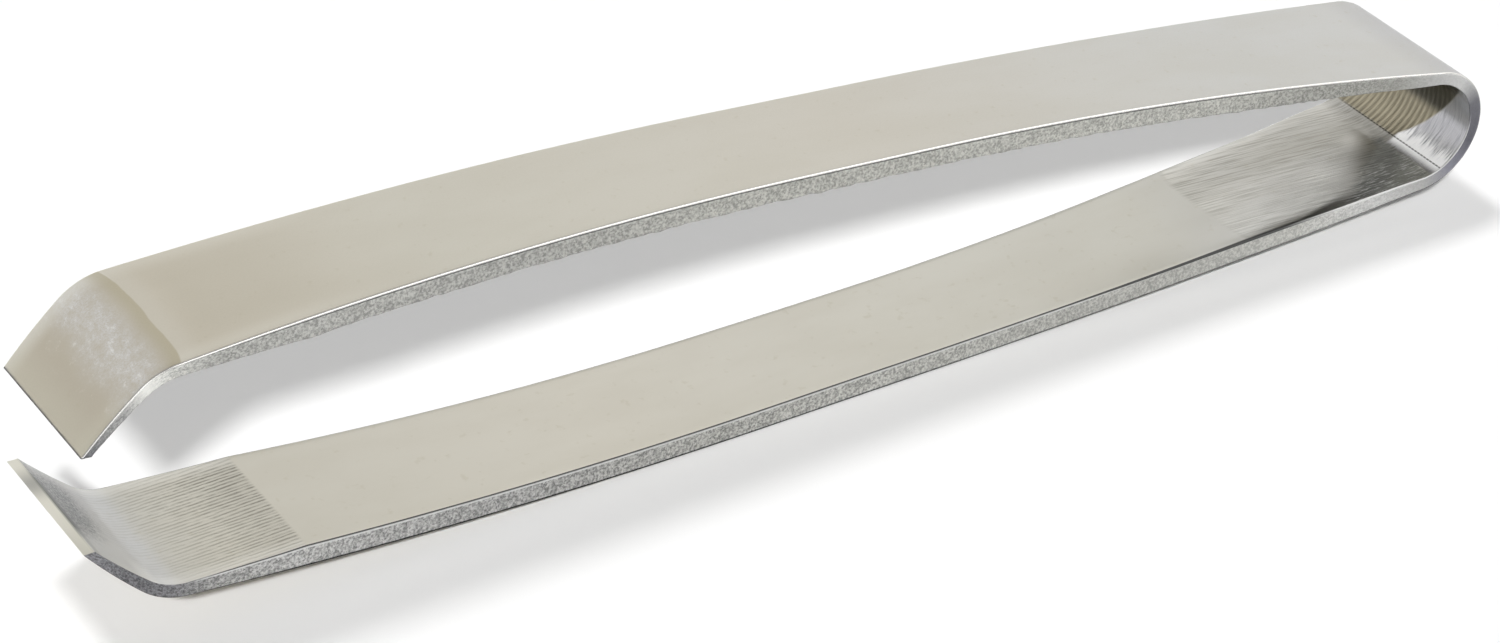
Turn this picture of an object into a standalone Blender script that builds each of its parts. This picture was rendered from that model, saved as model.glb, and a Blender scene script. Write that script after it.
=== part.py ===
"""Fish bone tweezers: one strip of stainless steel, bent into a spring bow, two arms and two jaws.

Metres, +Z up, +X from the jaws to the bow. The tool lies on the back of its lower arm.
The upper half is drawn as a line, its outer face seen from the side. Distances along the strip
are measured on that line, from the rear of the bow to the tip, and the lower half is the upper
half turned over. The strip parts at the two places where it flexes, so that the arms can turn.
"""

from math import asin, atan2, ceil, cos, hypot, pi, radians, sin

import bmesh
import bpy
import numpy as np
from mathutils import Vector

# The bow: half its rear wall, which is a little round, and the two tight corners.
REAR_WALL_HALF = 0.00355
REAR_WALL_TURN = radians(39.8)
CORNER_RADIUS = 0.00565

# The arms: two long arches, with the short flat between them that the tool lies on.
REAR_ARCH = 0.048
REAR_ARCH_TURN = radians(6.08)
REST_FLAT = 0.012
FRONT_ARCH = 0.0484
FRONT_ARCH_TURN = radians(7.48)

# The jaws: a bend, then a blade with a slight curl. The opening is what stands between the tips.
BEND_RADIUS = 0.00528
BEND_TURN = radians(36.7)
JAW_LENGTH = 0.00589
JAW_CURL = radians(7.8)
TIP_OPENING = 0.00764

# The strip's width, which narrows to a waist between the bow and the jaws.
BOW_WIDTH = 0.0134
WAIST_WIDTH = 0.0108
JAW_WIDTH = 0.013
TIP_WIDTH = 0.0125
WAIST_PLACE_SHARE = 0.42

# The strip's thickness. Its inner face is ground away in the bow and towards the tips.
ARM_THICKNESS = 0.00165
BOW_THICKNESS = 0.00109
BEND_THICKNESS = 0.00104
TIP_THICKNESS = 0.00063
REAR_GRIND = 0.0173
FRONT_GRIND = 0.0093
EDGE_RADIUS = 0.00015

# Each arm flexes about the middle of the rear grind. The strip parts there by a small gap.
FLEX_FROM_CORNER = 0.0088
PARTING_GAP = 0.0003
CLOSED_GAP = 0.0001

# How finely the bends are cut into flats, and how far a cutter or an end reaches past its cut.
FACET_TURN = radians(3)
FACET_LENGTH = 0.003
OVERRUN = 0.0015
MERGE_WITHIN = 0.00001
EDGE_SEGMENTS = 2
EDGE_ANGLE = radians(50)
BISECTIONS = 50


def stretches(splay):
    """Length and turn of each stretch of the line, with the arms leaving the bow at this angle."""
    corner_turn = pi / 2 - REAR_WALL_TURN - splay
    return (
        (REAR_WALL_HALF, REAR_WALL_TURN),
        (CORNER_RADIUS * corner_turn, corner_turn),
        (REAR_ARCH, REAR_ARCH_TURN),
        (REST_FLAT, 0),
        (FRONT_ARCH, FRONT_ARCH_TURN),
        (BEND_RADIUS * BEND_TURN, BEND_TURN),
        (JAW_LENGTH, JAW_CURL),
    )


def spot_on(parts, distance):
    """x, z and heading at a distance along the line. The last stretch runs on past its end."""
    x = z = 0
    heading = pi / 2
    for number, (length, turn) in enumerate(parts):
        is_last = number == len(parts) - 1
        run = distance if is_last else min(distance, length)
        bend = turn * run / length
        chord = run * np.sinc(bend / 2 / pi)
        x += chord * cos(heading + bend / 2)
        z += chord * sin(heading + bend / 2)
        heading += bend
        distance -= run
    return x, z, heading


def ends_of(parts):
    """The distance at which each stretch ends."""
    return np.cumsum([length for length, _ in parts])


def splay_for_opening():
    """The angle at which the arms leave the bow, which sets how far the tips stand apart."""
    low, high = 0, pi / 4
    for _ in range(BISECTIONS):
        splay = (low + high) / 2
        parts = stretches(splay)
        tip_height = spot_on(parts, ends_of(parts)[-1])[1]
        if tip_height < TIP_OPENING / 2:
            low = splay
        else:
            high = splay
    return splay


LINE = stretches(splay_for_opening())
_, CORNER_END, FLAT_START, FLAT_END, BEND_START, _, TIP = ends_of(LINE)
FLEX = CORNER_END + FLEX_FROM_CORNER


def spot(distance):
    return spot_on(LINE, distance)


def thickness(distance):
    """The rear grind fades out on a hollow curve, the front grind tapers in two straight steps."""
    left = np.clip(1 - (distance - CORNER_END) / REAR_GRIND, 0, 1)
    rear = ARM_THICKNESS - (ARM_THICKNESS - BOW_THICKNESS) * left**2
    places = (BEND_START - FRONT_GRIND, BEND_START, TIP)
    front = np.interp(distance, places, (ARM_THICKNESS, BEND_THICKNESS, TIP_THICKNESS))
    return min(rear, front)


def width(distance):
    """Both sides of the arm are one shallow hollow curve, deepest at the waist."""
    waist = CORNER_END + WAIST_PLACE_SHARE * (BEND_START - CORNER_END)
    if distance < waist:
        end, end_width = CORNER_END, BOW_WIDTH
    else:
        end, end_width = BEND_START, JAW_WIDTH
    away = min((distance - waist) / (end - waist), 1)
    along_jaw = np.clip((distance - BEND_START) / (TIP - BEND_START), 0, 1)
    arm_width = WAIST_WIDTH + (end_width - WAIST_WIDTH) * away**2
    return arm_width - (JAW_WIDTH - TIP_WIDTH) * along_jaw


def middle_of_wall(distance):
    """The point halfway between the outer and the inner face."""
    x, z, heading = spot(distance)
    inwards = heading + pi / 2
    depth = thickness(distance) / 2
    return Vector((x + depth * cos(inwards), 0, z + depth * sin(inwards)))


def closing_turn():
    """How far each arm turns about its flexure until the tips almost meet."""
    hinge = middle_of_wall(FLEX)
    tip_x, tip_z, _ = spot(TIP)
    reach = hypot(tip_x - hinge.x, tip_z - hinge.z)
    slope = atan2(tip_z - hinge.z, hinge.x - tip_x)
    return slope - asin((CLOSED_GAP / 2 - hinge.z) / reach)


def stations(start, stop):
    """Distances from start to stop that cut each stretch between them into equal flats."""
    found = [start]
    for (length, turn), end in zip(LINE, ends_of(LINE)):
        low, high = max(start, end - length), min(stop, end)
        if high <= low:
            continue
        share = (high - low) / length
        flats = ceil(max(turn * share / FACET_TURN, (high - low) / FACET_LENGTH))
        found.extend(np.linspace(low, high, flats + 1)[1:])
    if stop > TIP:
        found.append(stop)
    return found


def bent_strip(name, start, stop, origin, material, parent, collection):
    """The outer face as an open sheet, bent from a flat grid, with its wall and edges as modifiers."""
    places = stations(start, stop)
    flats = len(places) - 1
    sheet = bmesh.new()
    bmesh.ops.create_grid(sheet, x_segments=flats, y_segments=1, size=1)
    wall = sheet.verts.layers.deform.verify()
    for vertex in sheet.verts:
        distance = places[round((vertex.co.x + 1) / 2 * flats)]
        x, z, _ = spot(distance)
        vertex[wall][0] = thickness(distance) / ARM_THICKNESS
        vertex.co = Vector((x, -vertex.co.y * width(distance) / 2, z)) - origin
    mesh = bpy.data.meshes.new(name)
    sheet.to_mesh(mesh)
    sheet.free()
    mesh.shade_smooth()
    mesh.materials.append(material)
    strip = bpy.data.objects.new(name, mesh)
    strip.vertex_groups.new(name="wall")
    strip.location = origin
    strip.parent = parent
    collection.objects.link(strip)
    return strip


def add_mirror(strip):
    """Makes the lower half of the bow from the upper one."""
    mirror = strip.modifiers.new("lower_half", "MIRROR")
    mirror.use_axis = (False, False, True)
    mirror.merge_threshold = MERGE_WITHIN


def add_wall(strip):
    """Gives the sheet its thickness, inwards, and its slightly rounded long edges."""
    wall = strip.modifiers.new("wall", "SOLIDIFY")
    wall.thickness = ARM_THICKNESS
    wall.offset = -1
    wall.vertex_group = "wall"
    wall.use_even_offset = True
    edges = strip.modifiers.new("edges", "BEVEL")
    edges.width = EDGE_RADIUS
    edges.segments = EDGE_SEGMENTS
    edges.limit_method = "ANGLE"
    edges.angle_limit = EDGE_ANGLE


def cut(strip, cutter):
    """Takes the cutter's shape out of the strip."""
    boolean = strip.modifiers.new(cutter.name, "BOOLEAN")
    boolean.operation = "DIFFERENCE"
    boolean.object = cutter


def add_even_shading(strip):
    """Keeps the broad faces even up to the small rounded edges."""
    shading = strip.modifiers.new("shading", "WEIGHTED_NORMAL")
    shading.keep_sharp = True


def cutting_block(name, face, pitch, parent, collection):
    """A block whose upper face is centred at this point, turned about the Y axis by the pitch."""
    size = Vector((ARM_THICKNESS + OVERRUN, BOW_WIDTH / 2 + OVERRUN, ARM_THICKNESS + OVERRUN)) * 2
    block = bmesh.new()
    bmesh.ops.create_cube(block, size=1)
    bmesh.ops.scale(block, vec=size, verts=block.verts)
    bmesh.ops.translate(block, vec=(0, 0, -size.z / 2), verts=block.verts)
    mesh = bpy.data.meshes.new(name)
    block.to_mesh(mesh)
    block.free()
    cutter = bpy.data.objects.new(name, mesh)
    cutter.location = face
    cutter.rotation_euler.y = pitch
    cutter.parent = parent
    cutter.hide_render = True
    cutter.display_type = "WIRE"
    collection.objects.link(cutter)
    return cutter


def parting_block(name, side, parent, collection):
    """A block on one side of the flexure: +1 is towards the jaws, and -1 is towards the bow."""
    _, _, heading = spot(FLEX)
    forwards = Vector((cos(heading), 0, sin(heading)))
    face = middle_of_wall(FLEX) - forwards * side * PARTING_GAP / 2
    pitch = -pi / 2 * side - heading
    return cutting_block(name, face, pitch, parent, collection)


def tip_block(name, parent, collection):
    """The block that grinds the tip, so that the two ground faces meet flat when the jaws close."""
    x, z, _ = spot(TIP)
    return cutting_block(name, Vector((x, 0, z)), closing_turn(), parent, collection)


def add_empty(name, parent, collection, rotation=(0, 0, 0)):
    empty = bpy.data.objects.new(name, None)
    empty.rotation_euler = rotation
    empty.parent = parent
    empty.empty_display_size = BOW_WIDTH
    collection.objects.link(empty)
    return empty


def satin_steel(name, colour, roughness):
    """Stainless steel with the warm grey of its brushed faces."""
    steel = bpy.data.materials.new(name)
    steel.use_nodes = True
    shader = steel.node_tree.nodes["Principled BSDF"]
    shader.inputs["Base Color"].default_value = (*colour, 1)
    shader.inputs["Metallic"].default_value = 1
    shader.inputs["Roughness"].default_value = roughness
    steel.diffuse_color = (*colour, 1)
    steel.metallic = 1
    steel.roughness = roughness
    return steel


def build_bow(frame, halves, parts, cutters):
    """The U-shaped spring: the whole bow and the thin roots of both arms."""
    steel = satin_steel("bow_steel", (0.60, 0.59, 0.57), 0.38)
    bow = bent_strip("spring_bow", 0, FLEX + OVERRUN, Vector(), steel, frame, parts)
    add_mirror(bow)
    add_wall(bow)
    for half_name, half in halves.items():
        cut(bow, parting_block(half_name + "_bow_parting", 1, half, cutters))
    add_even_shading(bow)


def build_arm(half_name, half, parts, cutters):
    """An arm with its jaw. Its origin is on the axis that it flexes about."""
    steel = satin_steel(half_name + "_arm_steel", (0.60, 0.58, 0.53), 0.42)
    hinge = middle_of_wall(FLEX)
    arm = bent_strip(half_name + "_arm", FLEX - OVERRUN, TIP + OVERRUN, hinge, steel, half, parts)
    add_wall(arm)
    cut(arm, parting_block(half_name + "_arm_parting", -1, half, cutters))
    cut(arm, tip_block(half_name + "_tip_grind", half, cutters))
    add_even_shading(arm)


def box_of(objects):
    """Lowest and highest corner of the finished meshes, in the world."""
    graph = bpy.context.evaluated_depsgraph_get()
    points = []
    for each in objects:
        made = each.evaluated_get(graph)
        points.extend(made.matrix_world @ vertex.co for vertex in made.data.vertices)
    return np.min(points, axis=0), np.max(points, axis=0)


def stand_on_origin(frame, parts):
    """Lays the rest flat level and puts the bottom centre of the whole at the origin."""
    _, _, heading = spot((FLAT_START + FLAT_END) / 2)
    frame.rotation_euler.y = pi - heading
    bpy.context.view_layer.update()
    low, high = box_of([each for each in parts.objects if each.type == "MESH"])
    middle = (low + high) / 2
    frame.location = (-middle[0], -middle[1], -low[2])
    bpy.context.view_layer.update()


def main():
    for old in list(bpy.data.objects):
        bpy.data.objects.remove(old, do_unlink=True)
    parts = bpy.data.collections.new("fish_bone_tweezers")
    cutters = bpy.data.collections.new("cutters")
    for collection in (parts, cutters):
        bpy.context.scene.collection.children.link(collection)
    frame = add_empty("lying_frame", None, parts)
    halves = {
        "upper": add_empty("upper_half", frame, parts),
        "lower": add_empty("lower_half", frame, parts, (pi, 0, 0)),
    }
    build_bow(frame, halves, parts, cutters)
    for half_name, half in halves.items():
        build_arm(half_name, half, parts, cutters)
    stand_on_origin(frame, parts)


main()
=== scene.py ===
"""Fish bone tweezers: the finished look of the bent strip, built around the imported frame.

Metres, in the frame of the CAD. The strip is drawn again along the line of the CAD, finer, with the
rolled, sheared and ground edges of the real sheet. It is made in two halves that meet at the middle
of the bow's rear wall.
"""

from math import asin, atan2, cos, hypot, pi, radians, sin

import bpy
import numpy as np
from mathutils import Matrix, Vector, noise


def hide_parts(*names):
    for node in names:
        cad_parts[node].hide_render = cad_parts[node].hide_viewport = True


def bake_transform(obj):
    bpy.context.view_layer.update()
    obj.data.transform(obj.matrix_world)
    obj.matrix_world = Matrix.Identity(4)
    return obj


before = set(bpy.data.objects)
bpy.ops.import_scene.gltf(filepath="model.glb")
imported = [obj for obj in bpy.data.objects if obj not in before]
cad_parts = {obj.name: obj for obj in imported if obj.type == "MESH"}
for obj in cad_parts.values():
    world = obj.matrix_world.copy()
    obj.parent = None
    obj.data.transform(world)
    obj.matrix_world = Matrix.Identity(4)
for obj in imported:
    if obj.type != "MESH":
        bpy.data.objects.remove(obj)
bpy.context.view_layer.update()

# The line of the outer face, as in the CAD: length and turn of each stretch from the rear of the bow.
ARM_SPLAY = radians(8.5751)
REAR_WALL_HALF = 0.00355
REAR_WALL_TURN = radians(39.8)
CORNER_RADIUS = 0.00565
CORNER_TURN = pi / 2 - REAR_WALL_TURN - ARM_SPLAY
REAR_ARCH = 0.048
REAR_ARCH_TURN = radians(6.08)
REST_FLAT = 0.012
FRONT_ARCH = 0.0484
FRONT_ARCH_TURN = radians(7.48)
BEND_RADIUS = 0.00528
BEND_TURN = radians(36.7)
JAW_LENGTH = 0.00589
JAW_CURL = radians(7.8)
STRETCHES = (
    (REAR_WALL_HALF, REAR_WALL_TURN),
    (CORNER_RADIUS * CORNER_TURN, CORNER_TURN),
    (REAR_ARCH, REAR_ARCH_TURN),
    (REST_FLAT, 0),
    (FRONT_ARCH, FRONT_ARCH_TURN),
    (BEND_RADIUS * BEND_TURN, BEND_TURN),
    (JAW_LENGTH, JAW_CURL),
)
LENGTHS, TURNS = np.array(STRETCHES).T
ENDS = np.cumsum(LENGTHS)
CORNER_END, BEND_START, TIP = ENDS[1], ENDS[4], ENDS[6]

# The strip's width and thickness, as in the CAD.
BOW_WIDTH = 0.0134
WAIST_WIDTH = 0.0108
JAW_WIDTH = 0.013
TIP_WIDTH = 0.0125
WAIST_PLACE_SHARE = 0.42
ARM_THICKNESS = 0.00165
BOW_THICKNESS = 0.00109
BEND_THICKNESS = 0.00104
TIP_THICKNESS = 0.00063
REAR_GRIND = 0.0173
FRONT_GRIND = 0.0093

# Where the strip flexes, as in the CAD, and the ends of a stretch around it.
FLEX = CORNER_END + 0.0088
CLOSED_GAP = 0.0001
BLEND_FROM = CORNER_END + 0.0004
BLEND_TO = FLEX + 0.0085

# Where the line lies in the frame: the rear of the bow, and the lean back towards it.
LEAN = radians(2.4951)
REAR = Vector((0.0599993, 0, 0.0075771))

# The outer face rolls over at its edges. The lower half's roll is smaller by a share of itself.
ROLL_ACROSS = 0.00021
ROLL_DEPTH = 0.00014
CRISP_ROLL = 0.55
CRISP_FROM = 0.010
CRISP_TO = 0.020

# The side is sheared rough from these shares of the depth on, and the lower one is filed smooth again.
SHEAR_BUMPS = 0.000024
ROUGH_FROM = 0.25
ROUGH_TO = 0.5
FILED_FROM = 0.84
FILED_TO = 0.92

# The inner face has a rounded lip with a burr, jagged on the upper half and worn off where it is ground.
LIP = 0.00012
LIP_FROM = 0.9
LIP_FROM_ACROSS = 0.97
BURR = 0.00003
JAG = 0.0001
BURR_WORN = 0.8
REAR_WORN_SHARE = 0.4
FRONT_WORN_OVER = 0.002

# The inner face falls off towards its edges near the bow, most of all at the middle place.
EDGE_FALL = 0.00012
EDGE_FALL_ACROSS = 0.0008
EDGE_FALL_PLACES = (0.009, 0.016, 0.032)

# The tip is ground on a slant that starts this far back, and its edges are rounded.
TIP_FADE = 0.0030
TIP_ROUND = 0.00005

# The noise of the roughness and of the jags: how fine, how far off each edge is read, and a seed.
ROUGH_NOISE = (2.6, 9.0, 4.0)
JAG_NOISE = (1.3, 5.0, 9.0)

# How finely the mesh is cut.
STATION_STEP = 0.00025
STATION_TURN = radians(1.6)
OUTER_CELLS = 10
ROLL_CELLS = 6
SIDE_CELLS = 8
LIP_CELLS = 3
INNER_CELLS = 16
SHARP_ANGLE = radians(38)

MM = 1000

# The kinds of face on the mesh, in the order of the materials.
ZONES = ("face", "side", "inner", "tip")


def line_starts():
    """x, z and heading at the start of each stretch."""
    x, z, heading = 0.0, 0.0, pi / 2
    found = []
    for length, turn in STRETCHES:
        found.append((x, z, heading))
        chord = length * np.sinc(turn / 2 / pi)
        x += chord * cos(heading + turn / 2)
        z += chord * sin(heading + turn / 2)
        heading += turn
    return np.array(found)


STARTS = line_starts()


def line(along):
    """x, z and heading on the outer line at these distances."""
    along = np.asarray(along, float)
    number = np.clip(np.searchsorted(ENDS, along), 0, len(ENDS) - 1)
    run = along - (ENDS - LENGTHS)[number]
    bend = TURNS[number] * run / LENGTHS[number]
    chord = run * np.sinc(bend / 2 / pi)
    x, z, heading = np.moveaxis(STARTS[number], -1, 0)
    return x + chord * np.cos(heading + bend / 2), z + chord * np.sin(heading + bend / 2), heading + bend


def thickness(along):
    """The wall's thickness: thin in the bow, full along the arm, and thin again at the jaw."""
    left = np.clip(1 - (along - CORNER_END) / REAR_GRIND, 0, 1)
    rear = ARM_THICKNESS - (ARM_THICKNESS - BOW_THICKNESS) * left**2
    places = (BEND_START - FRONT_GRIND, BEND_START, TIP)
    front = np.interp(along, places, (ARM_THICKNESS, BEND_THICKNESS, TIP_THICKNESS))
    return np.minimum(rear, front)


def width(along):
    """The strip's width, which narrows to the waist from both ends."""
    waist = CORNER_END + WAIST_PLACE_SHARE * (BEND_START - CORNER_END)
    end = np.where(along < waist, CORNER_END, BEND_START)
    end_width = np.where(along < waist, BOW_WIDTH, JAW_WIDTH)
    away = np.minimum((along - waist) / (end - waist), 1)
    along_jaw = np.clip((along - BEND_START) / (TIP - BEND_START), 0, 1)
    return WAIST_WIDTH + (end_width - WAIST_WIDTH) * away**2 - (JAW_WIDTH - TIP_WIDTH) * along_jaw


def place(along, across, depth, side):
    """Points of the frame at these distances along the line, across the strip and into its wall."""
    x, z, heading = line(along)
    x = x - depth * np.sin(heading)
    z = (z + depth * np.cos(heading)) * side
    x, z = x * cos(LEAN) + z * sin(LEAN), z * cos(LEAN) - x * sin(LEAN)
    return np.stack([x + REAR.x, across + REAR.y, z + REAR.z], axis=-1)


def on_strip(along, side):
    """The point in the middle of the wall at one distance along the line."""
    return Vector(place(np.array(along), np.array(0.0), thickness(along) / 2, side))


def closing_turn():
    """How far an arm turns until the tips almost meet, which is also the slope of the ground tips."""
    x, z, heading = (float(v) for v in line(FLEX))
    depth = float(thickness(FLEX)) / 2
    x, z = x - depth * sin(heading), z + depth * cos(heading)
    tip_x, tip_z, _ = (float(v) for v in line(TIP))
    reach = hypot(tip_x - x, tip_z - z)
    return atan2(tip_z - z, x - tip_x) - asin((CLOSED_GAP / 2 - z) / reach)


def tip_retreat():
    """How much further along the line the inner face ends than the outer one at the slanted tip."""
    slope = closing_turn()
    heading = float(line(TIP)[2])
    dx, dz = -TIP_THICKNESS * sin(heading), TIP_THICKNESS * cos(heading)
    drop = dz + dx * np.tan(slope)
    return -drop / (sin(heading) + cos(heading) * np.tan(slope))


def stations():
    """Distances along the line, close enough together for each stretch to look round."""
    found = [np.array([0.0])]
    for (length, turn), end in zip(STRETCHES, ENDS):
        cells = int(np.ceil(max(length / STATION_STEP, turn / STATION_TURN)))
        found.append(np.linspace(end - length, end, cells + 1)[1:])
    return np.concatenate(found)


def half_profile():
    """Half of the wall's outline, from the middle of the outer face to the middle of the inner one.

    Each point is (share of half width, length added to it, share of thickness, length added to it).
    Each stretch between two points has a zone.
    """
    points, zones = [], []
    for share in np.linspace(0, 1, OUTER_CELLS + 1):
        points.append((share, -ROLL_ACROSS * share, 0, 0))
        zones.append("face")
    for turn in np.linspace(0, pi / 2, ROLL_CELLS + 1)[1:]:
        points.append((1, -ROLL_ACROSS * (1 - sin(turn)), 0, ROLL_DEPTH * (1 - cos(turn))))
        zones.append("face")
    for share in np.linspace(0, 1, SIDE_CELLS + 1)[1:]:
        points.append((1, 0, share, ROLL_DEPTH * (1 - share) - LIP * share))
        zones.append("side")
    for turn in np.linspace(0, pi / 2, LIP_CELLS + 1)[1:]:
        points.append((1, -LIP * (1 - cos(turn)), 1, -LIP * (1 - sin(turn))))
        zones.append("side")
    for share in np.sin(np.linspace(pi / 2, 0, INNER_CELLS + 1))[1:]:
        points.append((share, -LIP * share, 1, 0))
        zones.append("inner")
    return np.array(points), zones[1:]


def ring_profile():
    """The whole outline, round from the middle of the outer face, with the sign of each point's side."""
    half, zones = half_profile()
    whole = np.concatenate([half, half[-2:0:-1]])
    signs = np.concatenate([np.ones(len(half)), -np.ones(len(half) - 2)])
    return whole, signs, zones + zones[::-1]


def smooth(value, low, high):
    """Rises smoothly from 0 at the low value to 1 at the high one."""
    share = np.clip((value - low) / (high - low), 0, 1)
    return share * share * (3 - 2 * share)


def rough(signed, signs, depth, fineness, apart, seed):
    """Smooth noise between -1 and 1 at each point of the rings."""
    points = np.stack(np.broadcast_arrays(signed, signs * apart, depth + seed), axis=-1) * fineness
    values = [noise.noise(Vector(point)) for point in points.reshape(-1, 3)]
    return np.array(values).reshape(points.shape[:-1])


def worn_share(along):
    """How far the burr is worn off: fully where the strip is ground, at the bow and at the jaw."""
    rear = 1 - smooth(along, CORNER_END + REAR_WORN_SHARE * REAR_GRIND, CORNER_END + REAR_GRIND)
    front_from = BEND_START - FRONT_GRIND
    front = smooth(along, front_from, front_from + FRONT_WORN_OVER)
    return np.maximum(rear, front)


def strip_mesh(name, side):
    """One half of the strip as a closed mesh, with its own places along, across and into the wall.

    The side is 1 for the upper half and -1 for the lower one.
    """
    along = stations()[:, None]
    profile, signs, zones = ring_profile()
    of_half, plus_across, of_depth, plus_depth = (profile[:, k][None, :] for k in range(4))
    signs = signs[None, :]
    thick, half = thickness(along), width(along) / 2
    share = np.clip(of_depth + plus_depth / thick, 0, 1)

    # the thinner the wall, the smaller its rounded edges
    crisp = smooth(along, CRISP_FROM, CRISP_TO) * (side < 0)
    rounding = np.sqrt(thick / ARM_THICKNESS) * (1 - CRISP_ROLL * crisp * (1 - of_depth))
    fall_from, fall_most, fall_to = EDGE_FALL_PLACES
    falling = smooth(along, fall_from, fall_most) * (1 - smooth(along, fall_most, fall_to))
    at_edge = np.clip(1 - half * (1 - of_half) / EDGE_FALL_ACROSS, 0, 1) ** 2
    depth = (thick - EDGE_FALL * falling * at_edge) * of_depth + plus_depth * rounding
    across = (of_half * half + plus_across * rounding) * signs

    signed = along * side * MM
    filed = smooth(share, FILED_FROM, FILED_TO) * (side < 0)
    sheared = smooth(share, ROUGH_FROM, ROUGH_TO) * (of_half == 1) * (1 - filed)
    bumps = SHEAR_BUMPS * (1 + rough(signed, signs, depth * MM, *ROUGH_NOISE))
    across = across - signs * bumps * sheared

    lip = smooth(share, LIP_FROM, 1.0) * smooth(of_half, LIP_FROM_ACROSS, 1.0)
    jags = rough(signed, signs, depth * 0, *JAG_NOISE) * (side > 0)
    depth = depth + (BURR + JAG * jags) * lip * (1 - BURR_WORN * worn_share(along))

    slant = tip_retreat() * (depth / TIP_THICKNESS) * smooth(along, TIP - TIP_FADE, TIP)
    points = place(along + slant, across, depth, side)
    marks = np.stack(np.broadcast_arrays(signed, across * MM, share), axis=-1)
    gaps = (half - np.abs(across)) * MM
    return join_rings(name, points, marks, gaps, zones, side)


def join_rings(name, points, marks, gaps, zones, side):
    """Faces between the rings, a cap at each end, and a rounding at the tip."""
    rings, around = points.shape[:2]
    inward = points[-1].mean(axis=0) - points[-1]
    inset = points[-1] + inward / np.linalg.norm(inward, axis=1)[:, None] * TIP_ROUND
    points = np.concatenate([points, inset[None]])
    marks = np.concatenate([marks, marks[-1:]])
    gaps = np.concatenate([gaps, gaps[-1:]])
    faces, kinds = [], []
    for ring in range(rings):
        here, there = ring * around, (ring + 1) * around
        ring_zones = zones if ring < rings - 1 else ["tip"] * around
        for number, zone in enumerate(ring_zones):
            following = (number + 1) % around
            faces.append((here + number, here + following, there + following, there + number))
            kinds.append(ZONES.index(zone))
    faces.append(tuple(range(around))[::-1])
    faces.append(tuple(range(rings * around, (rings + 1) * around)))
    kinds.extend([ZONES.index("side"), ZONES.index("tip")])
    if side < 0:
        faces = [face[::-1] for face in faces]
    mesh = bpy.data.meshes.new(name)
    mesh.from_pydata(points.reshape(-1, 3).tolist(), [], faces)
    mesh.polygons.foreach_set("material_index", kinds)
    mesh.shade_smooth()
    mesh.set_sharp_from_angle(angle=SHARP_ANGLE)
    attribute = mesh.attributes.new("strip_place", "FLOAT_VECTOR", "POINT")
    attribute.data.foreach_set("vector", marks.reshape(-1).astype(np.float32))
    attribute = mesh.attributes.new("strip_gap", "FLOAT", "POINT")
    attribute.data.foreach_set("value", gaps.reshape(-1).astype(np.float32))
    mesh.validate()
    return mesh


def even_seam(mesh):
    """Gives the ring at the middle of the bow the same normals on both halves."""
    around = len(ring_profile()[0])
    up = np.array([sin(LEAN), 0, cos(LEAN)])
    ring = np.zeros((around, 3))
    for polygon in mesh.polygons:
        corners = [v for v in polygon.vertices if v < around]
        if len(corners) == 2 and len(polygon.vertices) == 4:
            for v in corners:
                ring[v] += np.array(polygon.normal)
    ring -= np.outer(ring @ up, up)
    ring /= np.linalg.norm(ring, axis=1)[:, None]
    normals = np.zeros((len(mesh.vertices), 3))
    normals[:around] = ring
    mesh.normals_split_custom_set_from_vertices(normals.tolist())


# Materials. Every pattern is placed by the strip's own marks: millimetres along and across, share of depth.

# The steel's colour at places along the strip, with painted reflection and shade laid into it: on the outer
# face darker at the bow's top corner and darker and warmer on the jaw, on the inner face lighter and darker
# at the jaw's turn and near the bow, and on the side dark around the bow's rear and bright as a painted
# highlight at the upper jaw's bend. Those of the lower half are negative in the last two.
REACH = 126.0
SATIN = (
    (0, (0.53, 0.53, 0.53)),
    (5, (0.47, 0.47, 0.48)),
    (10, (0.575, 0.575, 0.56)),
    (25, (0.57, 0.57, 0.55)),
    (60, (0.59, 0.565, 0.505)),
    (95, (0.595, 0.575, 0.505)),
    (115, (0.555, 0.515, 0.43)),
    (118, (0.50, 0.46, 0.38)),
)
INNER = (
    (-126, (0.575, 0.575, 0.56)),
    (-119.7, (0.615, 0.615, 0.61)),
    (-118.6, (0.49, 0.495, 0.50)),
    (-117.2, (0.495, 0.50, 0.50)),
    (-115.8, (0.52, 0.51, 0.465)),
    (-112, (0.565, 0.545, 0.48)),
    (-80, (0.64, 0.615, 0.545)),
    (-30, (0.63, 0.62, 0.565)),
    (-20, (0.56, 0.555, 0.53)),
    (-12, (0.46, 0.455, 0.43)),
    (-7, (0.50, 0.49, 0.46)),
    (0, (0.60, 0.60, 0.60)),
    (30, (0.60, 0.59, 0.55)),
)
SHEARED = (
    (-125, (0.255, 0.255, 0.268)),
    (-121, (0.190, 0.190, 0.200)),
    (-119, (0.200, 0.200, 0.210)),
    (-117, (0.235, 0.235, 0.247)),
    (-114, (0.410, 0.410, 0.404)),
    (-108, (0.530, 0.530, 0.522)),
    (-100, (0.495, 0.495, 0.488)),
    (-90, (0.465, 0.465, 0.458)),
    (-75, (0.485, 0.485, 0.462)),
    (-60, (0.545, 0.545, 0.519)),
    (-30, (0.555, 0.555, 0.528)),
    (-20, (0.610, 0.610, 0.581)),
    (-13, (0.690, 0.690, 0.680)),
    (-8, (0.505, 0.505, 0.497)),
    (-5, (0.285, 0.285, 0.331)),
    (-2, (0.140, 0.140, 0.162)),
    (2, (0.180, 0.180, 0.198)),
    (5, (0.590, 0.590, 0.581)),
    (8, (0.500, 0.500, 0.492)),
    (12, (0.350, 0.350, 0.326)),
    (20, (0.350, 0.350, 0.326)),
    (30, (0.470, 0.470, 0.438)),
    (75, (0.440, 0.440, 0.410)),
    (90, (0.390, 0.390, 0.371)),
    (100, (0.430, 0.430, 0.409)),
    (108, (0.440, 0.440, 0.419)),
    (113, (0.420, 0.420, 0.400)),
    (117, (0.600, 0.600, 0.571)),
    (119, (0.850, 0.850, 0.809)),
    (121, (0.420, 0.420, 0.414)),
    (123, (0.340, 0.340, 0.335)),
    (125, (0.215, 0.215, 0.226)),
)

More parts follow.
